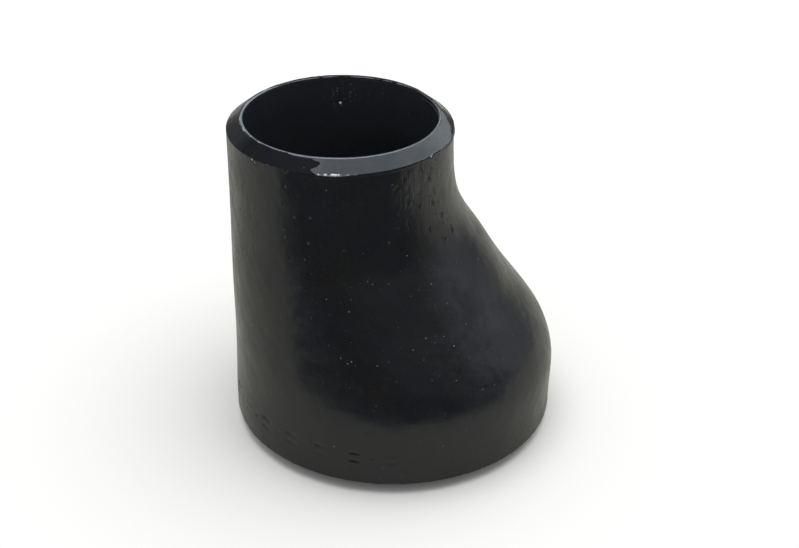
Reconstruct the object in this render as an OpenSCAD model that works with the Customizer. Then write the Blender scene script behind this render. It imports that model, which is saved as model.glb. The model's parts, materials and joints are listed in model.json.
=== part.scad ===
// Eccentric butt-weld pipe reducer, one seamless steel piece.
// It stands on its large end. The flat side faces -X and the flared side +X.
// Origin: centre of the large end's face. +Z runs towards the small end.

/* [Ends] */
// Outside diameter of the large end
large_od = 88.9; // [84:0.1:96]
// Wall thickness at the large end
large_wall = 5.5; // [4:0.1:7]
// Outside diameter of the small end
small_od = 60.3; // [56:0.1:64]
// Wall thickness at the small end
small_wall = 4.4; // [3:0.1:5.5]
// End-to-end length
length = 89; // [86:0.5:110]

/* [Weld bevels] */
// Angle of the weld bevel from the end face
bevel_angle = 37.5; // [30:0.5:40]
// Width of the flat land left at the root of the bevel
land_width = 0.9; // [0.8:0.1:2.4]

/* [Flare] */
// Height of the straight wall at the large end
large_tangent = 18; // [12:0.5:20]
// Steepest lean of the flared side from the axis
flare_angle = 35; // [33:0.5:40]
// Outside radius of the shoulder above the large end
shoulder_radius = 21; // [16:0.5:24]
// Outside radius of the hollow below the small end
neck_radius = 37; // [30:0.5:40]
// Steps along each curve of the flare
curve_steps = 8; // [5:1:10]
// Facets around the flare
flare_facets = 96; // [48:4:112]

/* [Hidden] */

steel_black = [0.09, 0.095, 0.10];
round_fn = 180;
seat_depth = 0.5;    // each straight wall stops this short of the flare's curve, inside the flare's skin
seat_step = 0.05;    // how much thinner than that wall the flare is, on each face

large_r = large_od / 2;
small_r = small_od / 2;
flat_side_x = -large_r;            // the flat side's line stands straight up here
small_x = flat_side_x + small_r;   // axis of the small end

// The flared side bulges over the shoulder, leans straight up, then hollows into the neck.
curved_run = (shoulder_radius + neck_radius) * (1 - cos(flare_angle));
straight_run = (large_od - small_od - curved_run) / sin(flare_angle);
flare_rise = (shoulder_radius + neck_radius) * sin(flare_angle) + straight_run * cos(flare_angle);
neck_top = large_tangent + flare_rise;

// A station is [height, x, lean] of a point on the outside of the flared side.
function shoulder_station(lean) =
    [large_tangent + shoulder_radius * sin(lean),
     large_r - shoulder_radius * (1 - cos(lean)), lean];
function neck_station(lean) =
    [neck_top - neck_radius * sin(lean),
     flat_side_x + small_od + neck_radius * (1 - cos(lean)), lean];
stations = concat(
    [[large_tangent - 2 * seat_depth, large_r, 0]],
    [for (i = [0 : curve_steps]) shoulder_station(flare_angle * i / curve_steps)],
    [for (i = [curve_steps : -1 : 0]) neck_station(flare_angle * i / curve_steps)],
    [[neck_top + 2 * seat_depth, flat_side_x + small_od, 0]]);

function blend(a, b, t) = a + (b - a) * min(max(t, 0), 1);
function wall_at(z) = blend(large_wall, small_wall, (z - large_tangent) / flare_rise);

// Points of the circle that touches the flat side at x_flat and the flared side at x_flare.
function ring(z, x_flat, x_flare) =
    let (r = (x_flare - x_flat) / 2, cx = (x_flare + x_flat) / 2)
    [for (i = [0 : flare_facets - 1])
        let (a = 360 * i / flare_facets) [cx + r * cos(a), r * sin(a), z]];
function outer_ring(s) = ring(s[0], flat_side_x + seat_step, s[1] - seat_step);
function inner_ring(s) =
    let (wall = wall_at(s[0]) - seat_step, z = s[0] - wall * sin(s[2]))
    ring(z, flat_side_x + wall_at(z) - seat_step, s[1] - wall * cos(s[2]));

// Skin over closed loops of points, each loop joined to the next and the last to the first.
module skin_loops(loops) {
    n = len(loops[0]);
    count = len(loops);
    polyhedron(
        points = [for (loop = loops) each loop],
        faces = [for (k = [0 : count - 1], i = [0 : n - 1])
            let (j = (i + 1) % n, above = (k + 1) % count)
            [above * n + i, above * n + j, k * n + j, k * n + i]],
        convexity = 6);
}

module flare() {
    last = len(stations) - 1;
    skin_loops(concat(
        [for (k = [0 : last]) outer_ring(stations[k])],
        [for (k = [last : -1 : 0]) inner_ring(stations[k])]));
}

// Straight tube from z = 0 to z = top, with a weld bevel round its end at z = 0.
module bevelled_tube(r, wall, top) {
    bevel_depth = (wall - land_width) * tan(bevel_angle);
    rotate_extrude($fn = round_fn)
        polygon([[r - wall, 0], [r - wall + land_width, 0], [r, bevel_depth], [r, top], [r - wall, top]]);
}

module reducer_body() color(steel_black) {
    bevelled_tube(large_r, large_wall, large_tangent - seat_depth);
    flare();
    translate([small_x, 0, length]) mirror([0, 0, 1])
        bevelled_tube(small_r, small_wall, length - neck_top - seat_depth);
}

reducer_body();
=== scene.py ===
import json
import math
from collections import namedtuple

import bpy
import numpy as np
from mathutils import Matrix, Vector, noise


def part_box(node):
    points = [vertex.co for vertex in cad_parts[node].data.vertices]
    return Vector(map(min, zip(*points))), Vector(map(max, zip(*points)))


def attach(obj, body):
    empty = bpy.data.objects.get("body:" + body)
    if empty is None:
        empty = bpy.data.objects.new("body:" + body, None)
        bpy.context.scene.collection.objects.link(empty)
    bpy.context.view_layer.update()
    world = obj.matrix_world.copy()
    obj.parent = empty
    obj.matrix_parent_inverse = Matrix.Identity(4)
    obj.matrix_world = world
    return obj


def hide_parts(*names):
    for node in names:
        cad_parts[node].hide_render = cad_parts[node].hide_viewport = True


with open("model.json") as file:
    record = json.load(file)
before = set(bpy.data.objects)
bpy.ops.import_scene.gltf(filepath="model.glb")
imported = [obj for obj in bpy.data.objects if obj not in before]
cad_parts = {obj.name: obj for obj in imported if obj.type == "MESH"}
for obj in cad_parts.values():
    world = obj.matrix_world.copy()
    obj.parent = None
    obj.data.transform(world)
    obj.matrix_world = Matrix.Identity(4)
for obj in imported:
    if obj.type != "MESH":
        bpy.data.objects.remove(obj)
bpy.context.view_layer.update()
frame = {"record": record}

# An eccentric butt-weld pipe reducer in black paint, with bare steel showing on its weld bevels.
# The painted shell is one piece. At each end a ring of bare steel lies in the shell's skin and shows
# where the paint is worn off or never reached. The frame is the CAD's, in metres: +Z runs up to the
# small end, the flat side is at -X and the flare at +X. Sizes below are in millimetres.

MM = 0.001
NODE = "reducer_body"

# ---------------------------------------------------------------------------------------------
# Sizes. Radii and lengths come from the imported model; the rest repeats the CAD's own dimensions.

mounts = {mount["name"]: mount["dims"] for mount in frame["record"]["mounts"]}
LARGE_R = mounts["large_end_outside"]["r_mm"]
SMALL_R = mounts["small_end_outside"]["r_mm"]
LARGE_WALL = LARGE_R - mounts["large_end_bore"]["r_mm"]
SMALL_WALL = SMALL_R - mounts["small_end_bore"]["r_mm"]
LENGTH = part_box(NODE)[1].z / MM

LAND = 0.9                        # width of the flat land at the root of each bevel
BEVEL_SLOPE = math.tan(math.radians(37.5))
LARGE_TANGENT = 18.0              # height where the straight large end gives way to the shoulder
FLARE_LEAN = math.radians(35.0)   # steepest lean of the flared side
SHOULDER_R = 21.0
NECK_R = 37.0

curved_run = (SHOULDER_R + NECK_R) * (1 - math.cos(FLARE_LEAN))
straight_run = (2 * (LARGE_R - SMALL_R) - curved_run) / math.sin(FLARE_LEAN)
FLARE_RISE = (SHOULDER_R + NECK_R) * math.sin(FLARE_LEAN) + straight_run * math.cos(FLARE_LEAN)
NECK_TOP = LARGE_TANGENT + FLARE_RISE
SHOULDER_TOP = LARGE_TANGENT + SHOULDER_R * math.sin(FLARE_LEAN)
NECK_FOOT = NECK_TOP - NECK_R * math.sin(FLARE_LEAN)

# face: height of the end. into: +1 or -1, the way from the face into the part. bevel: its height.
# arris: distance over the skin from the bore's edge to the bevel's outer edge. step: between its rows.
End = namedtuple("End", "face into radius wall bevel arris step")


def make_end(face, into, radius, wall, step):
    bevel = (wall - LAND) * BEVEL_SLOPE
    return End(face, into, radius, wall, bevel, LAND + math.hypot(wall - LAND, bevel), step)


SMALL_END = make_end(LENGTH, -1, SMALL_R, SMALL_WALL, 0.2)
LARGE_END = make_end(0.0, 1, LARGE_R, LARGE_WALL, 0.45)


def flared_side(z):
    """(x of the outside, lean in radians) of the flared side at a height."""
    if z <= LARGE_TANGENT:
        return LARGE_R, 0.0
    if z < SHOULDER_TOP:
        lean = math.asin((z - LARGE_TANGENT) / SHOULDER_R)
        return LARGE_R - SHOULDER_R * (1 - math.cos(lean)), lean
    if z <= NECK_FOOT:
        start = LARGE_R - SHOULDER_R * (1 - math.cos(FLARE_LEAN))
        return start - (z - SHOULDER_TOP) * math.tan(FLARE_LEAN), FLARE_LEAN
    if z < NECK_TOP:
        lean = math.asin((NECK_TOP - z) / NECK_R)
        return 2 * SMALL_R - LARGE_R + NECK_R * (1 - math.cos(lean)), lean
    return 2 * SMALL_R - LARGE_R, 0.0


def wall_at(z):
    share = min(max((z - LARGE_TANGENT) / FLARE_RISE, 0.0), 1.0)
    return LARGE_WALL + (SMALL_WALL - LARGE_WALL) * share


# ---------------------------------------------------------------------------------------------
# Rows. A row is one ring of a skin: (height, x on the flat side, x on the flared side).

def outer_row(z, inset=0.0):
    return z, -LARGE_R + inset, flared_side(z)[0] - inset


def inner_row(z):
    x, lean = flared_side(z)
    wall = wall_at(z)
    low = z - wall * math.sin(lean)
    return low, -LARGE_R + wall_at(low), x - wall * math.cos(lean)


def spaced(start, stop, step, fine=0.12):
    """Values from start up to but not at stop, with a close one at each end to keep edges crisp."""
    sign = 1 if stop > start else -1
    count = max(2, round(abs(stop - start) / step))
    return [start, *np.linspace(start + sign * fine, stop - sign * fine, count)]


def stepped(*heights):
    """Heights in stretches: a start, then a stop and the step up to it for each stretch."""
    start, *rest = heights
    values = []
    for stop, step in rest:
        count = max(1, round(abs(stop - start) / step))
        values += list(np.linspace(start, stop, count, endpoint=False))
        start = stop
    return values


LAND_STEP = 0.3
ARRIS_BAND, ARRIS_STEP = 0.6, 0.14     # the last stretch of a bevel before its arris has closer rows


def face_rows(end):
    """Rows from the bore's edge over the land and down the bevel, up to the arris."""
    land = spaced(0.0, LAND, LAND_STEP, 0.06)
    bevel = spaced(LAND, end.wall - ARRIS_BAND, end.step, 0.08)
    bevel += spaced(end.wall - ARRIS_BAND, end.wall, ARRIS_STEP, 0.04)
    down = end.into * BEVEL_SLOPE
    return ([outer_row(end.face, end.wall - r) for r in land]
            + [outer_row(end.face + down * (r - LAND), end.wall - r) for r in bevel])


STAMP_LOW, STAMP_HIGH = 8.6, 14.4     # the band of the large end that holds the stamped marks
NEAR_ARRIS, NEAR_SMALL_ARRIS = 0.8, 1.5     # how far the close rows go on past each arris
NEAR_MOUTH = 1.5                      # and how far into each mouth of the bore
UNDER_ARRIS = 4                       # rows are halfway close down to here below the small arris
CLOSE, HALFWAY, BODY, STRAIGHT, BORE, FLARED_BORE = 0.16, 0.4, 1.65, 1.0, 3.0, 2.6   # steps of rows


def shell_rows():
    """The skin in one closed loop, and the index of the large end's last row before the bore."""
    top, bottom = LENGTH - SMALL_END.bevel, LARGE_END.bevel
    heights = spaced(top, top - NEAR_SMALL_ARRIS, CLOSE, 0.05)
    heights += stepped(top - NEAR_SMALL_ARRIS, (top - UNDER_ARRIS, HALFWAY), (STAMP_HIGH, BODY),
                       (STAMP_LOW, HALFWAY), (bottom + NEAR_ARRIS, STRAIGHT))
    heights += spaced(bottom + NEAR_ARRIS, bottom, 0.25, 0.05)
    outside = face_rows(SMALL_END) + [outer_row(z) for z in heights]
    outside += [outer_row(bottom)] + face_rows(LARGE_END)[::-1]
    heights = stepped(0.0, (NEAR_MOUTH, 0.5), (LARGE_TANGENT, BORE), (NECK_TOP, FLARED_BORE),
                      (LENGTH - NEAR_MOUTH, BORE))
    heights += stepped(LENGTH - NEAR_MOUTH, (LENGTH, HALFWAY))
    return outside + [inner_row(z) for z in heights[1:]], len(outside) - 1


# ---------------------------------------------------------------------------------------------
# Skins: a grid of points, rows by columns, joined into one closed surface.

COLUMNS = 600
ANGLES = np.arange(COLUMNS) * 2 * math.pi / COLUMNS


def skin_points(rows):
    z, flat, flare = (np.array(values)[:, None] for values in zip(*rows))
    radius, centre = (flare - flat) / 2, (flare + flat) / 2
    x = centre + radius * np.cos(ANGLES)
    y = radius * np.sin(ANGLES)
    return np.stack([x, y, z + 0 * x], -1)


def skin_normals(points):
    around = np.roll(points, -1, 1) - np.roll(points, 1, 1)
    along = np.roll(points, 1, 0) - np.roll(points, -1, 0)
    cross = np.cross(around, along)
    return cross / np.linalg.norm(cross, axis=-1, keepdims=True)


def skin_travel(points):
    """Distance over the skin from its first row, taken on the flared side, as a column of values."""
    steps = np.linalg.norm(np.diff(points[:, 0], axis=0), axis=-1)
    return np.concatenate([[0.0], np.cumsum(steps)])[:, None]


def unrolled(travel):
    """Coordinates that follow the skin, for grain that runs along or round the pipe."""
    ones = np.ones(travel.shape)
    across, over = SMALL_R * np.cos(ANGLES) * ones, SMALL_R * np.sin(ANGLES) * ones
    return np.stack([across, over, travel + 0 * ANGLES], -1)


def make_skin(name, points, travel, **shares):
    """A closed mesh over the grid. Each of shares is kept with it as numbers from 0 to 1."""
    rows, columns = points.shape[:2]
    index = np.arange(rows * columns).reshape(rows, columns)
    below, right = np.roll(index, -1, 0), np.roll(index, -1, 1)
    corners = np.stack([index, below, np.roll(below, -1, 1), right], -1).reshape(-1, 4)
    mesh = bpy.data.meshes.new(name)
    mesh.from_pydata((points.reshape(-1, 3) * MM).tolist(), [], corners.tolist())
    mesh.polygons.foreach_set("use_smooth", np.ones(len(corners), bool))
    along = mesh.attributes.new("skin", "FLOAT_VECTOR", "POINT")
    along.data.foreach_set("vector", unrolled(travel).reshape(-1).astype(np.float32))
    for attribute, values in shares.items():
        layer = mesh.attributes.new(attribute, "FLOAT", "POINT")
        layer.data.foreach_set("value", (values + 0 * travel * ANGLES).astype(np.float32).ravel())
    mesh.validate()
    piece = bpy.data.objects.new(name, mesh)
    bpy.context.scene.collection.objects.link(piece)
    return piece


def fractal(points, size, octaves=3, seed=0.0):
    """Smooth noise of about -1 to 1 at each point, its largest lumps about size across."""
    places = points.reshape(-1, 3) / size + seed
    values = [noise.fractal(Vector(place), 0.8, 2.1, octaves) for place in places]
    return np.array(values).reshape(points.shape[:-1])


def hill(value, middle, spread):
    return np.exp(-(((value - middle) / spread) ** 2))


def turn_from(angle):
    """Signed turn in degrees of each column from an angle."""
    return (np.degrees(ANGLES) - angle + 180) % 360 - 180


def arc_from(angle, radius):
    """Signed distance round the pipe of each column from an angle."""
    return np.radians(turn_from(angle)) * radius


# ---------------------------------------------------------------------------------------------
# Shape left by the making: an uneven hot-formed wall, and shallow stamped marks.

# (angle, height, degrees wide, millimetres tall, rise)
UNEVEN = [
    (196, 27, 34, 13, -0.34),
    (200, 7, 30, 8, 0.26),
    (8, 84, 40, 9, -0.36),
    (16, 66, 30, 6, -0.26),
    (26, 54, 30, 6, 0.28),
    (24, 44, 30, 6, -0.26),
    (20, 32, 30, 6, 0.28),
    (2, 17, 30, 7, 0.36),
    (110, 40, 36, 18, 0.30),
    (150, 62, 30, 12, -0.22),
]
FACE_FADE = 4.0       # the large end's face stays flat: unevenness fades in over this height
LUMP_RISE, LUMP_SIZE = 0.10, 26


def forming(points):
    """How far the hot-formed wall rises or sinks from its nominal place."""
    height = points[..., 2]
    rise = LUMP_RISE * fractal(points, LUMP_SIZE, 2, 4.0)
    for angle, level, wide, tall, amount in UNEVEN:
        rise = rise + amount * hill(turn_from(angle), 0, wide) * hill(height, level, tall)
    return rise * np.clip(height / FACE_FADE, 0, 1)


STAMP_FIRST, STAMP_STEP, STAMP_COUNT = 204.0, 6.2, 13    # degrees; evenly spaced round the flat side
STAMP_MIDDLE = (STAMP_LOW + STAMP_HIGH) / 2
STAMP_REACH = 1.3                 # half the length of a level bar
STAMP_APART = 1.25                # height of each of a pair of bars from the middle
STAMP_HALF, STAMP_SOFT = 0.26, 0.34     # half width of a stroke, and of its sloping side
STAMP_DEPTH = 0.36


def stroke(around, up, half_wide):
    away = np.hypot(np.maximum(np.abs(around) - half_wide, 0), up)
    return np.clip((STAMP_HALF + STAMP_SOFT - away) / STAMP_SOFT, 0, 1)


def stamped(points):
    """Depth of a plain row of marks, struck unevenly: a pair of level bars, then a dot, and so on."""
    up = points[..., 2] - STAMP_MIDDLE
    depth = 0 * up
    for k in range(STAMP_COUNT):
        around = arc_from(STAMP_FIRST + STAMP_STEP * k, LARGE_R)
        if k % 2 == 0:
            depth = depth + stroke(around, up - STAMP_APART, STAMP_REACH)
            depth = depth + stroke(around, up + STAMP_APART, STAMP_REACH)
        else:
            depth = depth + stroke(around, up, 0)
    struck = np.clip(0.70 + 0.8 * fractal(points, 7.0, 2, 21.0), 0.2, 1)
    return STAMP_DEPTH * struck * np.clip(depth, 0, 1)


# ---------------------------------------------------------------------------------------------
# The paint's edge. It is a signed distance in millimetres, above zero where there is paint.

# The bare part of each bevel, as the angles of its first and last edges at distances from the bore.
BARE_SMALL = ([(0.9, 252), (1.3, 266), (2.2, 270.5), (3.0, 269.5), (4.2, 266), (5.8, 269.5)],
              [(0.9, 392), (1.5, 379), (2.3, 377), (3.0, 370), (3.9, 366), (4.6, 359), (5.4, 353)])
BARE_LARGE = ([(0.9, 22), (3.0, 34), (4.5, 29), (6.7, 31)],
              [(0.9, 215), (2.6, 205), (4.4, 209), (6.7, 202)])
# Places where the paint stops short of the arris and a little bare wall shows: (angle, degrees, mm).
BARE_WALL_SMALL = [(279, 6.5, 0.50), (270, 3, 0.2), (346, 8, 0.10)]
BARE_WALL_LARGE = [(52, 9, 0.5), (120, 14, 0.35), (188, 6, 0.4)]
# How much of the small end's land the paint still covers from its outer edge: (angle, mm).
LAND_PAINT = [(0, 0.20), (25, 0.20), (39, 0.75), (137, 0.75), (151, 0.20), (202, 0.20), (222, 0.42),
              (262, 0.42), (272, 0.20), (360, 0.20)]
# A thin scrape across the painted bevel beside the bare part: (angle, travel, radius) along it.
SCRAPE = [(22, 2.7, 0.12), (20.5, 3.1, 0.15), (19, 3.4, 0.16),
          (17.5, 3.8, 0.15), (16, 4.2, 0.15), (14.5, 4.6, 0.12)]
# Chips at the small end's arris, in the same terms, and how many more are strewn along each arris.
CHIPS_SMALL = [(331, 5.75, 0.30), (243, 5.6, 0.16), (233, 5.7, 0.22), (235, 6.2, 0.14)]
CHIPS = 13
LARGE_LAND_OVERRUN = 0.45     # how far past its land the large end is bare all round


def eased(value, points):
    """Through points (value, result), level at each of them so that the turns are round."""
    at, result = (np.array(values) for values in zip(*points))
    index = np.clip(np.searchsorted(at, value) - 1, 0, len(at) - 2)
    part = np.clip((value - at[index]) / (at[index + 1] - at[index]), 0, 1)
    return result[index] + (result[index + 1] - result[index]) * part * part * (3 - 2 * part)


def chip_distance(end, travel, chips):
    """Distance outside the nearest chip."""
    away = 1e3 + 0 * travel * ANGLES
    for angle, place, radius in chips:
        away = np.minimum(away, np.hypot(arc_from(angle, end.radius), travel - place) - radius)
    return away


def scattered_chips(end, seed):
    draw = np.random.default_rng(seed)
    return [(draw.uniform(0, 360), end.arris + draw.normal(0.10, 0.20), draw.uniform(0.08, 0.22))
            for _ in range(CHIPS)]


def bare_band(end, travel, points, span, wall_spots, land_edge, chips, seed):
    """Distance to the edge of the bare steel: the land, the bevel over span, and small chips.

    travel is the distance over the skin from the bore's edge, below zero inside the bore. Each edge
    wavers by a share of ragged, which adds broad and fine noise."""
    ragged = 0.20 * fractal(points, 3.2, 4, seed) + 0.10 * fractal(points, 0.9, 2, seed + 9)
    first, last = (eased(travel, edge) for edge in span)
    middle = (span[0][0][1] + span[1][0][1]) / 2
    angle = middle + turn_from(middle)
    inside = np.radians(np.minimum(angle - first, last - angle)) * end.radius
    overrun = sum(mm * hill(turn_from(at), 0, wide) for at, wide, mm in wall_spots)
    down = travel - end.arris - overrun + (0.3 + 0.9 * overrun) * ragged
    edge = np.maximum(-inside - 1.3 * ragged, down)
    edge = np.minimum(edge, travel - land_edge + 1.2 * ragged)
    edge = np.minimum(edge, chip_distance(end, travel, chips) + 0.8 * ragged)
    return np.maximum(edge, -travel - 0.1 + 0.3 * ragged)


# ---------------------------------------------------------------------------------------------
# The painted shell

PAINT = 0.11                # thickness of the paint film
UNDERCUT = 0.16             # how far the shell dips under the bare ring where there is no paint
EDGE_SLOPE = 0.42           # width of the film's rounded edge
BEAD = 0.07                 # extra thickness where the paint drew up into a bead along its edge
BEAD_FROM_EDGE, BEAD_HALF = 0.50, 0.20

rows, last_outside = shell_rows()
base = skin_points(rows)
travel = skin_travel(base)
around_loop = travel[-1, 0] + np.linalg.norm(base[0, 0] - base[-1, 0])
to_bore = travel[last_outside, 0]
from_small = np.where(travel > (to_bore + around_loop) / 2, travel - around_loop, travel)
from_large = to_bore - travel

small_chips = CHIPS_SMALL + SCRAPE + scattered_chips(SMALL_END, 5)
large_chips = scattered_chips(LARGE_END, 6)
small_land = LAND - eased(np.degrees(ANGLES), LAND_PAINT)
large_land = LAND + LARGE_LAND_OVERRUN
paint_edge = np.minimum(
    bare_band(SMALL_END, from_small, base, BARE_SMALL, BARE_WALL_SMALL, small_land, small_chips, 2.0),
    bare_band(LARGE_END, from_large, base, BARE_LARGE, BARE_WALL_LARGE, large_land, large_chips, 31.0))
share = np.clip(paint_edge / EDGE_SLOPE, -1, 1)
film = np.where(share > 0, PAINT * np.sin(share * math.pi / 2), UNDERCUT * share)
film = film + BEAD * hill(paint_edge, BEAD_FROM_EDGE, BEAD_HALF)
outside = np.arange(len(rows))[:, None] <= last_outside
rise = forming(base) + film - stamped(base) * outside
bore_share = 1.0 - outside[:, 0]

raised = base + skin_normals(base) * rise[..., None]
shell = make_skin("painted_shell", raised, travel, bore=bore_share[:, None])
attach(shell, "root")
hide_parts(NODE)

# ---------------------------------------------------------------------------------------------
# Bare steel rings

RING_DEPTH = 1.2            # how thick the ring is under the skin
RING_REACH = 1.5            # how far it runs past the arris and into the bore
BURR_WIDTH = 0.22
BURR_SHOWS, BURR_FULL = 0.13, 0.27    # rises where a burr's painted highlight starts, and where it is full
# Burrs along each arris: (angle, degrees wide, rise).
BURRS_SMALL = [(270.5, 0.8, 0.30), (273.5, 1.0, 0.38), (277.5, 1.5, 0.46), (280.5, 0.8, 0.40),
               (283.5, 1.2, 0.42), (288, 1.5, 0.20), (331, 0.8, 0.30)]
BURRS_LARGE = [(52, 5.0, 0.2), (120, 8.0, 0.15)]


def ring_rows(end):
    arris = end.face + end.into * end.bevel
    past = arris + end.into * RING_REACH
    deep = end.face + end.into * RING_REACH
    outside = [outer_row(z) for z in spaced(arris, past, 0.16, 0.05)] + [outer_row(past)]
    hidden = [outer_row(past, RING_DEPTH), outer_row(arris + end.into * 0.4, RING_DEPTH),
              outer_row(deep, end.wall - RING_DEPTH)]
    return face_rows(end) + outside + hidden + [inner_row(z) for z in spaced(deep, end.face, 0.4)]


def make_ring(name, end, burrs):
    ring_base = skin_points(ring_rows(end))
    ring_travel = skin_travel(ring_base)
    lift = sum(mm * hill(turn_from(at), 0, wide) for at, wide, mm in burrs)
    lift = lift * hill(ring_travel, end.arris, BURR_WIDTH)
    if end.into > 0:
        ring_base, ring_travel, lift = ring_base[::-1], ring_travel[::-1], lift[::-1]
    lift = lift * np.clip(0.9 + 1.6 * fractal(ring_base, 1.6, 2, 41.0), 0.1, 1.8)
    out = ring_base + skin_normals(ring_base) * (forming(ring_base) + lift)[..., None]
    # The raised burrs get a painted highlight: near white where they rise most.
    highlight = np.clip((lift - BURR_SHOWS) / (BURR_FULL - BURR_SHOWS), 0, 1)
    ring = make_skin(name, out, ring_travel, burr=highlight)
    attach(ring, "root")
    return ring


rings = [make_ring("bare_bevel_small_end", SMALL_END, BURRS_SMALL),
         make_ring("bare_bevel_large_end", LARGE_END, BURRS_LARGE)]

# ---------------------------------------------------------------------------------------------
# Materials


class Graph:
    """A node tree with short calls for the nodes used here."""

    def __init__(self, tree):
        self.tree = tree

    def node(self, kind, **settings):
        made = self.tree.nodes.new("ShaderNode" + kind)
        for key, value in settings.items():
            setattr(made, key, value)
        return made

    def feed(self, node, name, value):
        if isinstance(value, bpy.types.NodeSocket):
            self.tree.links.new(value, node.inputs[name])
        else:
            node.inputs[name].default_value = value

    def math(self, operation, a, b=0.0):
        made = self.node("Math", operation=operation)
        self.feed(made, 0, a)
        self.feed(made, 1, b)
        return made.outputs[0]

    def total(self, *values):
        result = values[0]
        for value in values[1:]:
            result = self.math("ADD", result, value)
        return result

    def product(self, *values):
        result = values[0]
        for value in values[1:]:
            result = self.math("MULTIPLY", result, value)
        return result

    def vector(self, operation, a, b):
        made = self.node("VectorMath", operation=operation)
        self.feed(made, 0, a)
        self.feed(made, 1, b)
        return made

    def attribute(self, name, output):
        return self.node("Attribute", attribute_name=name).outputs[output]

    def skin(self, *scale):
        return self.vector("MULTIPLY", self.attribute("skin", "Vector"), scale).outputs["Vector"]

    def millimetres(self):
        place = self.node("TexCoord").outputs["Object"]
        return self.vector("MULTIPLY", place, (1 / MM, 1 / MM, 1 / MM)).outputs["Vector"]

    def noise(self, vector, detail=3.0, roughness=0.5, distortion=0.0):
        made = self.node("TexNoise")
        for name, value in (("Vector", vector), ("Scale", 1.0), ("Detail", detail),
                            ("Roughness", roughness), ("Distortion", distortion)):
            self.feed(made, name, value)
        return made.outputs["Fac"]

    def ramp(self, value, low, high, to_low=0.0, to_high=1.0):
        made = self.node("MapRange", interpolation_type="SMOOTHSTEP")
        for name, given in (("Value", value), ("From Min", low), ("From Max", high),
                            ("To Min", to_low), ("To Max", to_high)):
            self.feed(made, name, given)
        return made.outputs["Result"]

    def mix(self, share, a, b):
        made = self.node("Mix", data_type="RGBA")
        self.feed(made, 0, share)
        self.feed(made, 6, a if isinstance(a, bpy.types.NodeSocket) else (*a, 1))
        self.feed(made, 7, b if isinstance(b, bpy.types.NodeSocket) else (*b, 1))
        return made.outputs[2]

    def near(self, place, reach):
        """1 close to a place in millimetres, falling to 0 at reach."""
        away = self.vector("DISTANCE", self.millimetres(), place).outputs["Value"]
        return self.ramp(away, 0.35 * reach, reach, 1.0, 0.0)

    def specks(self, spacing, radius, shift):
        """Small round spots of mixed strengths and sizes up to radius, strewn about spacing apart."""
        cells = self.node("TexVoronoi", feature="F1")
        shifted = self.vector("ADD", self.millimetres(), (shift, shift, shift)).outputs["Vector"]
        self.feed(cells, "Vector", self.vector("MULTIPLY", shifted, (1 / spacing,) * 3).outputs["Vector"])
        self.feed(cells, "Scale", 1.0)
        away = self.math("MULTIPLY", cells.outputs["Distance"], spacing)
        chance = self.node("SeparateColor")
        self.feed(chance, 0, cells.outputs["Color"])
        size = self.ramp(chance.outputs[0], 0.0, 1.0, 0.4 * radius, radius)
        spot = self.ramp(away, self.math("MULTIPLY", size, 0.55), size, 1.0, 0.0)
        return self.product(spot, self.ramp(chance.outputs[1], 0.0, 1.0, 0.15, 1.0))


def new_material(name):
    material = bpy.data.materials.new(name)
    material.use_nodes = True
    return material, Graph(material.node_tree), material.node_tree.nodes["Principled BSDF"]


def bump_from(g, height):
    """Normal from a height in millimetres."""
    made = g.node("Bump")
    g.feed(made, "Height", height)
    g.feed(made, "Distance", MM)
    return made.outputs["Normal"]


PAINT_BLUE = (0.0066, 0.0078, 0.0096)
PAINT_WARM = (0.0088, 0.0084, 0.0078)
PAINT_WORN = (0.026, 0.028, 0.027)
PAINT_HAZE_AND_SHEEN = (0.0135, 0.0146, 0.0175)
# Lighter paint for the bore: thin dull paint there, and painted light that lifts the shaded inside of the
# bore.
BORE_THIN_PAINT_AND_LIGHT = (0.0185, 0.0208, 0.0260)
DUST = (0.30, 0.34, 0.36)
# Near black for pits: painted shade in their hollows.
PIT_SHADE = (0.002, 0.002, 0.0022)
BORE_SPOT = (0.11, 0.16, 0.16)
# Near white, for a pale grain in the bore and for the painted highlight on the burrs.
PALE_GRAIN_AND_BURR_HIGHLIGHT = (0.88, 0.89, 0.87)
STEEL_DARK, STEEL_PALE = (0.53, 0.55, 0.53), (0.63, 0.65, 0.63)
STEEL_OXIDE = (0.10, 0.085, 0.07)

# Where dust has settled and where the paint is brushed thin or pitted: (place, reach).
DUSTY = [((0, -40, 44), 28), ((22, -28, 36), 22), ((-14, 26, 84), 10)]
BRUSHED = [((13, -19, 80), 13), ((20, -14, 69), 11), ((-44, -12, 66), 28),
           ((-44, 10, 20), 26), ((-30, 24, 70), 30)]
# Single deep pits on the neck: (angle, height, reach).
GOUGES = [(313, 82.5, 0.9), (308, 80.5, 0.6), (315, 76, 1.0), (322, 73.8, 0.6),
          (331, 72.8, 0.8), (310, 73.5, 0.5), (314, 69.8, 0.9), (326, 66.5, 0.7),
          (336, 68, 0.6), (341, 62.8, 0.8), (333, 62.4, 0.5), (252, 77, 0.6)]
# Nibs of dried paint standing out of the skin: (angle, height, reach).
NIBS = [(254, 81.7, 0.45), (258, 73.5, 0.45), (266, 74, 0.45), (252, 67.5, 0.45), (264, 67, 0.50),
        (261, 62.5, 0.40), (302, 66.5, 0.45), (307, 80.5, 0.40), (306, 82, 0.40), (252, 69.5, 0.40),
        (233, 48, 0.50), (348, 53, 0.45), (333, 56, 0.40), (320, 57.8, 0.40), (218, 19, 0.50)]
# Loose spray on the back of the bore, and one bigger grain in it: (place, reach).
SPRAY = ((-19, 25.3, 84), 6.5)
GRAIN = ((-19.4, 25.0, 81.2), 0.5)
# Where the paint has a dull bloom. The bloom is also a painted sheen: lighter paint on the shoulder where
# it reflects the pale wall.
HAZY_AND_SHEEN = [((24, -22, 42), 21), ((29, -25, 30), 16), ((17, -21, 49), 10), ((21, -32, 36), 9)]
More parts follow.
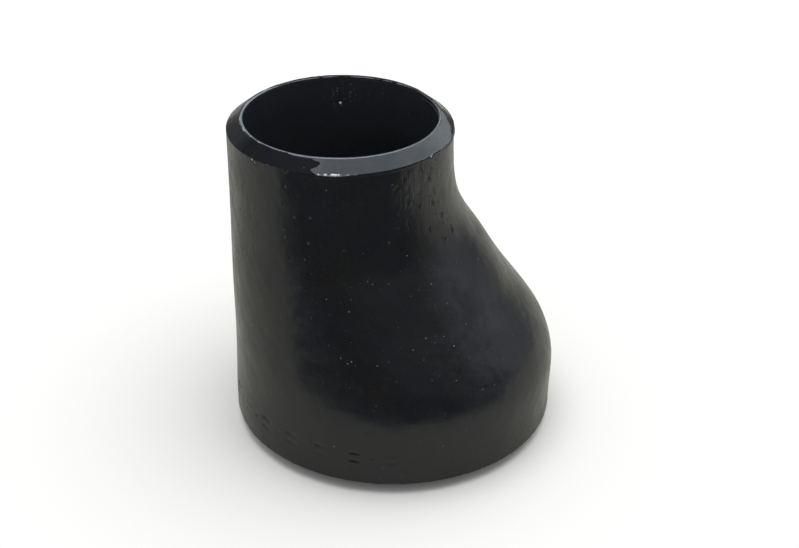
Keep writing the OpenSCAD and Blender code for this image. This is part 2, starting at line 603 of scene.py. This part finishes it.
# The patch of thin brushed paint on the neck, with a ragged outline.
RAGGED = [((13, -19, 79), 12), ((19, -15, 70), 9)]
ENDS_CLEAR = 6.5      # strokes begin this far along the skin from the small end's bore


def places(g, spots):
    """1 close to any of the spots, each a (place, reach) in millimetres."""
    shares = [g.near(place, reach) for place, reach in spots]
    result = shares[0]
    for share in shares[1:]:
        result = g.math("MAXIMUM", result, share)
    return result


def on_side(angle, height):
    """The place in millimetres on the shell's outside at an angle and a height."""
    _, flat, flared = outer_row(height)
    radius = (flared - flat) / 2
    turn = math.radians(angle)
    nominal = (flat + radius + radius * math.cos(turn), radius * math.sin(turn), height)
    row = int(np.argmin(np.abs(base[:last_outside, 0, 2] - height)))
    column = round(angle * COLUMNS / 360) % COLUMNS
    return (np.array(nominal) + raised[row, column] - base[row, column]).tolist()


TORN_DRIFT = 1.3      # how far a torn spot's outline may wander, and how much it is squashed in height
TORN_SQUASH = 0.5


def torn_near(g, place, reach):
    """1 inside a small ragged spot, taller than wide, and 0 outside it."""
    drift = g.node("TexNoise")
    g.feed(drift, "Vector", g.skin(1.1, 1.1, 0.7))
    g.feed(drift, "Scale", 1.0)
    offset = g.vector("MULTIPLY", drift.outputs["Color"], (2 * TORN_DRIFT,) * 3).outputs["Vector"]
    here = g.vector("ADD", g.millimetres(), offset).outputs["Vector"]
    here = g.vector("SUBTRACT", here, (TORN_DRIFT,) * 3).outputs["Vector"]
    here = g.vector("MULTIPLY", here, (1, 1, TORN_SQUASH)).outputs["Vector"]
    x, y, z = place
    away = g.vector("DISTANCE", here, (x, y, TORN_SQUASH * z)).outputs["Value"]
    return g.ramp(away, 0.4 * reach, reach, 1.0, 0.0)


def ragged_patch(g):
    """1 inside the neck's patch of thin paint, with a torn outline."""
    torn = g.noise(g.skin(0.45, 0.45, 0.16), 3.0, 0.6)
    return g.ramp(g.total(places(g, RAGGED), g.math("MULTIPLY", torn, 1.2)), 1.00, 1.10)


STRAY_STROKES = 0.18      # strength of the strokes that lie outside the brushed places


def brush_strokes(g, patch):
    """Short fuzzy strokes along the pipe, fine ones and, in the patch, broad ones."""
    fine = g.ramp(g.noise(g.skin(1.7, 1.7, 0.20), 3.0, 0.55, 0.25), 0.52, 0.72)
    broad = g.ramp(g.noise(g.skin(0.80, 0.80, 0.13), 2.0, 0.5, 0.5), 0.52, 0.64)
    strokes = g.math("MAXIMUM", fine, g.product(broad, patch))
    stray = g.ramp(g.noise(g.skin(0.10, 0.10, 0.07), 3.0), 0.42, 0.62)
    where = g.math("MAXIMUM", places(g, BRUSHED), g.math("MULTIPLY", stray, STRAY_STROKES))
    along = g.node("SeparateXYZ")
    g.feed(along, 0, g.attribute("skin", "Vector"))
    return g.product(strokes, where, g.ramp(along.outputs["Z"], ENDS_CLEAR - 1, ENDS_CLEAR + 1))


def scratches(g):
    """A few fine scratches round the pipe."""
    lines = g.ramp(g.noise(g.skin(0.30, 0.30, 4.5), 2.0, 0.5, 0.1), 0.70, 0.76)
    patch = g.ramp(g.noise(g.skin(0.13, 0.13, 0.11), 2.0), 0.50, 0.60)
    return g.product(lines, patch)


def settled_dust(g, patches):
    """Grains of dust: thick in the dusty places, and a few strays everywhere."""
    clusters = g.ramp(g.noise(g.skin(0.17, 0.17, 0.15), 2.0), 0.42, 0.60)
    grains = g.product(g.specks(1.4, 0.21, 3.0), places(g, DUSTY), clusters)
    stray = g.product(g.specks(3.2, 0.22, 11.0), g.ramp(patches, 0.2, 0.8, 0.4, 1.0))
    return g.math("MAXIMUM", grains, stray)


def deep_pits(g, patch):
    """Pits in the paint: fine ones where it is brushed thin, torn ones in the patch and listed ones."""
    fine = g.product(g.specks(1.9, 0.36, 29.0), g.math("MAXIMUM", places(g, BRUSHED), 0.25))
    torn = g.product(g.ramp(g.noise(g.skin(0.75, 0.75, 0.34), 3.0, 0.65, 0.8), 0.60, 0.66), patch)
    for angle, height, reach in GOUGES:
        torn = g.math("MAXIMUM", torn, torn_near(g, on_side(angle, height), reach))
    return g.math("MAXIMUM", fine, torn)


# Lighter bluish paint on the shoulder: a dull bloom, and a painted sheen where the shoulder reflects the
# pale wall.
def dull_bloom_and_sheen(g):
    cloud = g.noise(g.skin(0.17, 0.17, 0.15), 5.0, 0.68, 0.8)
    return g.product(places(g, HAZY_AND_SHEEN), g.ramp(cloud, 0.40, 0.60))


def black_paint():
    material, g, shader = new_material("black_paint")
    bore = g.attribute("bore", "Fac")
    patches = g.ramp(g.noise(g.skin(0.07, 0.07, 0.05), 4.0, 0.6), 0.36, 0.66)
    patch = ragged_patch(g)
    strokes = brush_strokes(g, patch)
    scratch = scratches(g)
    dust = settled_dust(g, patches)
    shaded_pits = deep_pits(g, patch)
    nibs = places(g, [(on_side(angle, height), reach) for angle, height, reach in NIBS])
    spray = g.product(g.specks(0.9, 0.34, 47.0), g.near(*SPRAY), bore)

    colour = g.mix(patches, PAINT_BLUE, PAINT_WARM)
    colour = g.mix(g.math("MULTIPLY", strokes, 0.8), colour, PAINT_WORN)
    colour = g.mix(scratch, colour, PAINT_WORN)
    # Painted sheen and dull bloom on the shoulder.
    colour = g.mix(dull_bloom_and_sheen(g), colour, PAINT_HAZE_AND_SHEEN)
    # Inside the bore the colour is lighter: thin dull paint, and painted light in the shaded bore.
    colour = g.mix(bore, colour, BORE_THIN_PAINT_AND_LIGHT)
    colour = g.mix(spray, colour, BORE_SPOT)
    colour = g.mix(g.near(*GRAIN), colour, PALE_GRAIN_AND_BURR_HIGHLIGHT)
    colour = g.mix(g.math("MULTIPLY", dust, 0.8), colour, DUST)
    colour = g.mix(g.math("MULTIPLY", nibs, 0.06), colour, DUST)
    # Pits are painted near black: painted shade in the pits, over their bump.
    g.feed(shader, "Base Color", g.mix(shaded_pits, colour, PIT_SHADE))

    cloud = g.noise(g.skin(0.16, 0.16, 0.12), 4.0, 0.6)
    g.feed(shader, "Roughness", g.total(
        g.ramp(cloud, 0.35, 0.65, 0.20, 0.30), g.math("MULTIPLY", strokes, 0.16),
        g.math("MULTIPLY", bore, 0.25), g.math("MULTIPLY", g.math("MAXIMUM", dust, shaded_pits), 0.3)))

    lumps = g.noise(g.skin(0.11, 0.11, 0.08), 2.0)
    ripples = g.noise(g.skin(0.42, 0.42, 0.24), 3.0)
    peel = g.noise(g.skin(1.6, 1.6, 1.2), 2.0)
    heights = ((lumps, 0.42), (ripples, 0.070), (peel, 0.007), (strokes, 0.048),
               (scratch, -0.012), (dust, 0.05), (shaded_pits, -0.17), (nibs, 0.20))
    height = g.total(*(g.math("MULTIPLY", share, rise) for share, rise in heights))
    g.feed(shader, "Normal", bump_from(g, height))
    return material


def bare_steel():
    material, g, shader = new_material("bare_steel")
    mottle = g.noise(g.skin(0.22, 0.22, 0.3), 4.0, 0.65)
    turning = g.noise(g.skin(0.05, 0.05, 7.0), 3.0, 0.6)
    oxide = g.product(g.specks(1.1, 0.24, 7.0), g.ramp(mottle, 0.45, 0.7))
    colour = g.mix(g.ramp(mottle, 0.32, 0.68), STEEL_DARK, STEEL_PALE)
    colour = g.mix(g.math("MULTIPLY", oxide, 0.6), colour, STEEL_OXIDE)
    # Burrs are painted near white and mostly non-metal: a painted highlight where the fin catches light.
    burr = g.attribute("burr", "Fac")
    g.feed(shader, "Base Color", g.mix(burr, colour, PALE_GRAIN_AND_BURR_HIGHLIGHT))
    g.feed(shader, "Metallic", g.math("SUBTRACT", 1.0, g.math("MULTIPLY", burr, 0.8)))
    rough = g.ramp(mottle, 0.3, 0.7, 0.34, 0.46)
    g.feed(shader, "Roughness", g.total(rough, g.math("MULTIPLY", oxide, 0.2)))
    height = g.total(g.math("MULTIPLY", turning, 0.006), g.math("MULTIPLY", mottle, 0.02))
    g.feed(shader, "Normal", bump_from(g, height))
    return material


shell.data.materials.append(black_paint())
steel = bare_steel()
for ring in rings:
    ring.data.materials.append(steel)

# ---------------------------------------------------------------------------------------------
# Studio: a white floor and soft light. Glossy rays see the room round a photographer's table: a grey
# floor with something dark standing in front of it, pale walls, a dim ceiling, a window at the back
# and a dim corner at each side of it. Ways are degrees round the part, as angles on it are.

FLOOR_HALF = 6.0
FLOOR_WHITE = (0.86, 0.86, 0.85)
FLOOR_IN_GLOSS = (0.50, 0.51, 0.46)
DARK_IN_GLOSS = (0.045, 0.060, 0.085)
DARK_WAY = 285                            # the way of the dark thing
DARK_LEFT, DARK_RIGHT = 235, 356          # the ways its sides run
DARK_LEFT_EDGE = -54 * MM                 # its left side misses the middle of the floor by this much
DARK_LEFT_SOFT, DARK_RIGHT_SOFT = 4 * MM, 0.12      # half of each side's soft edge
DARK_BEND = 1.0                           # its near edge bends away: metres for a square metre
DARK_NEAR, DARK_FAR = 84 * MM, 116 * MM   # its near edge on the floor, soft between the two
BACK_WAY = 100                            # the way of the window
RIGHT_BACK_WAY, LEFT_BACK_WAY = 60, 150   # and of the two dim corners
WINDOW_EXTRA = 4.2
WINDOW_SIDE = 0.72, 0.88                  # how nearly a glance faces the window at its soft side
WINDOW_SILL, WINDOW_TOP = (0.34, 0.44), (0.54, 0.62)    # rises of a glance at its soft sill and top
WALL_GLOW = (0.565, 0.60, 0.675)
CEILING_GLOW = (0.128, 0.138, 0.165)
WALL_TOP = 0.34, 0.50                     # rises of a glance where wall turns to ceiling
NEAR_TABLE = 0.17, 0.33                   # and where what stands near the table ends
ROOM_WHITE = (1, 1, 1)
ROOM_STRENGTH = 0.65
LAMP_WATTS, LAMP_ACROSS = 13.5, 1.6
LAMP_PLACE = (0.1, 0.1, 1.3)
FLOOR_ROUGHNESS = 0.9


def towards(degrees):
    return math.cos(math.radians(degrees)), math.sin(math.radians(degrees)), 0


def make_floor():
    mesh = bpy.data.meshes.new("floor")
    corners = [(-FLOOR_HALF, -FLOOR_HALF, 0), (FLOOR_HALF, -FLOOR_HALF, 0),
               (FLOOR_HALF, FLOOR_HALF, 0), (-FLOOR_HALF, FLOOR_HALF, 0)]
    mesh.from_pydata(corners, [], [(0, 1, 2, 3)])
    material, g, shader = new_material("floor_white")
    place = g.node("TexCoord").outputs["Object"]
    way = g.vector("NORMALIZE", place, (0, 0, 0)).outputs["Vector"]
    left = g.vector("DOT_PRODUCT", place, towards(DARK_LEFT + 90)).outputs["Value"]
    right = g.vector("DOT_PRODUCT", way, towards(DARK_RIGHT - 90)).outputs["Value"]
    ahead = g.vector("DOT_PRODUCT", place, towards(DARK_WAY)).outputs["Value"]
    across = g.vector("DOT_PRODUCT", place, towards(DARK_WAY + 90)).outputs["Value"]
    ahead = g.total(ahead, g.product(across, across, DARK_BEND))
    dark = g.product(g.ramp(ahead, DARK_NEAR, DARK_FAR),
                     g.ramp(right, -DARK_RIGHT_SOFT, DARK_RIGHT_SOFT),
                     g.ramp(left, DARK_LEFT_EDGE - DARK_LEFT_SOFT, DARK_LEFT_EDGE + DARK_LEFT_SOFT))
    in_gloss = g.mix(dark, FLOOR_IN_GLOSS, DARK_IN_GLOSS)
    glossy = g.node("LightPath").outputs["Is Glossy Ray"]
    g.feed(shader, "Base Color", g.mix(glossy, FLOOR_WHITE, in_gloss))
    shader.inputs["Roughness"].default_value = FLOOR_ROUGHNESS
    shader.inputs["Specular IOR Level"].default_value = 0.0
    mesh.materials.append(material)
    floor = bpy.data.objects.new("floor", mesh)
    bpy.context.scene.collection.objects.link(floor)


def make_world():
    world = bpy.data.worlds.new("studio")
    bpy.context.scene.world = world
    world.use_nodes = True
    world.node_tree.nodes.clear()
    g = Graph(world.node_tree)
    way = g.node("TexCoord").outputs["Generated"]
    parts = g.node("SeparateXYZ")
    g.feed(parts, 0, way)
    up = parts.outputs["Z"]

    def facing(degrees, low, high):
        """1 where a glance faces a way nearly enough, falling to 0."""
        return g.ramp(g.vector("DOT_PRODUCT", way, towards(degrees)).outputs["Value"], low, high)

    def dimmed(amount, *shares):
        """The light left where the shares, multiplied, take away this amount."""
        return g.math("SUBTRACT", 1.0, g.product(*shares, amount))

    right_of_left_side = facing(DARK_LEFT + 90, -0.03, 0.09)
    near_table = g.ramp(up, *NEAR_TABLE, 1.0, 0.0)
    shade = g.product(
        dimmed(0.60, facing(DARK_WAY, 0.26, 0.64), right_of_left_side),
        dimmed(0.76, facing(DARK_WAY, -0.10, 0.34), right_of_left_side, near_table),
        dimmed(0.55, facing(BACK_WAY, 0.30, 0.75), near_table),
        dimmed(0.40, facing(BACK_WAY, 0.78, 0.95), near_table),
        dimmed(0.35, facing(RIGHT_BACK_WAY, 0.70, 0.95)),
        dimmed(0.50, facing(LEFT_BACK_WAY, 0.45, 0.80)))
    window = g.product(facing(BACK_WAY, *WINDOW_SIDE), g.ramp(up, *WINDOW_SILL),
                       g.ramp(up, *WINDOW_TOP, 1.0, 0.0))
    shade = g.total(shade, g.product(window, WINDOW_EXTRA))
    room = g.mix(g.ramp(up, *WALL_TOP), WALL_GLOW, CEILING_GLOW)
    gloss, plain = g.node("Background"), g.node("Background")
    g.feed(gloss, "Color", room)
    g.feed(gloss, "Strength", shade)
    g.feed(plain, "Color", (*ROOM_WHITE, 1))
    g.feed(plain, "Strength", ROOM_STRENGTH)
    chosen = g.node("MixShader")
    g.feed(chosen, 0, g.node("LightPath").outputs["Is Glossy Ray"])
    g.feed(chosen, 1, plain.outputs[0])
    g.feed(chosen, 2, gloss.outputs[0])
    g.feed(g.node("OutputWorld"), "Surface", chosen.outputs[0])


def make_light():
    soft = bpy.data.lights.new("overhead", "AREA")
    soft.shape = "DISK"
    soft.size = LAMP_ACROSS
    soft.energy = LAMP_WATTS
    overhead = bpy.data.objects.new("overhead", soft)
    bpy.context.scene.collection.objects.link(overhead)
    overhead.location = LAMP_PLACE
    overhead.visible_glossy = False


make_floor()
make_world()
make_light()

# ---------------------------------------------------------------------------------------------
# Camera

CAMERA_AZIMUTH = math.radians(9.2)
CAMERA_ELEVATION = math.radians(30.45)
CAMERA_DISTANCE = 415.3 * MM
CAMERA_AIM = Vector((0, 0, 40 * MM))
AIM_RIGHT = math.radians(0.22)
AIM_UP = math.radians(0.23)
ROLL = math.radians(0.21)
LENS, SENSOR = 67.28, 36


def make_camera():
    back = Vector((math.sin(CAMERA_AZIMUTH) * math.cos(CAMERA_ELEVATION),
                   -math.cos(CAMERA_AZIMUTH) * math.cos(CAMERA_ELEVATION),
                   math.sin(CAMERA_ELEVATION)))
    right = (-back).cross(Vector((0, 0, 1))).normalized()
    up = right.cross(-back)
    ahead = (-back + right * math.tan(AIM_RIGHT) + up * math.tan(AIM_UP)).normalized()
    right = ahead.cross(up).normalized()
    up = right.cross(ahead)
    rolled_right = right * math.cos(ROLL) + up * math.sin(ROLL)
    rolled_up = up * math.cos(ROLL) - right * math.sin(ROLL)
    lens = bpy.data.cameras.new("camera")
    lens.sensor_width = SENSOR
    lens.lens = LENS
    lens.clip_start = 0.01
    camera = bpy.data.objects.new("camera", lens)
    bpy.context.scene.collection.objects.link(camera)
    turn = Matrix((rolled_right, rolled_up, -ahead)).transposed().to_4x4()
    camera.matrix_world = Matrix.Translation(CAMERA_AIM + back * CAMERA_DISTANCE) @ turn
    bpy.context.scene.camera = camera


make_camera()
bpy.context.scene.view_settings.view_transform = "Standard"
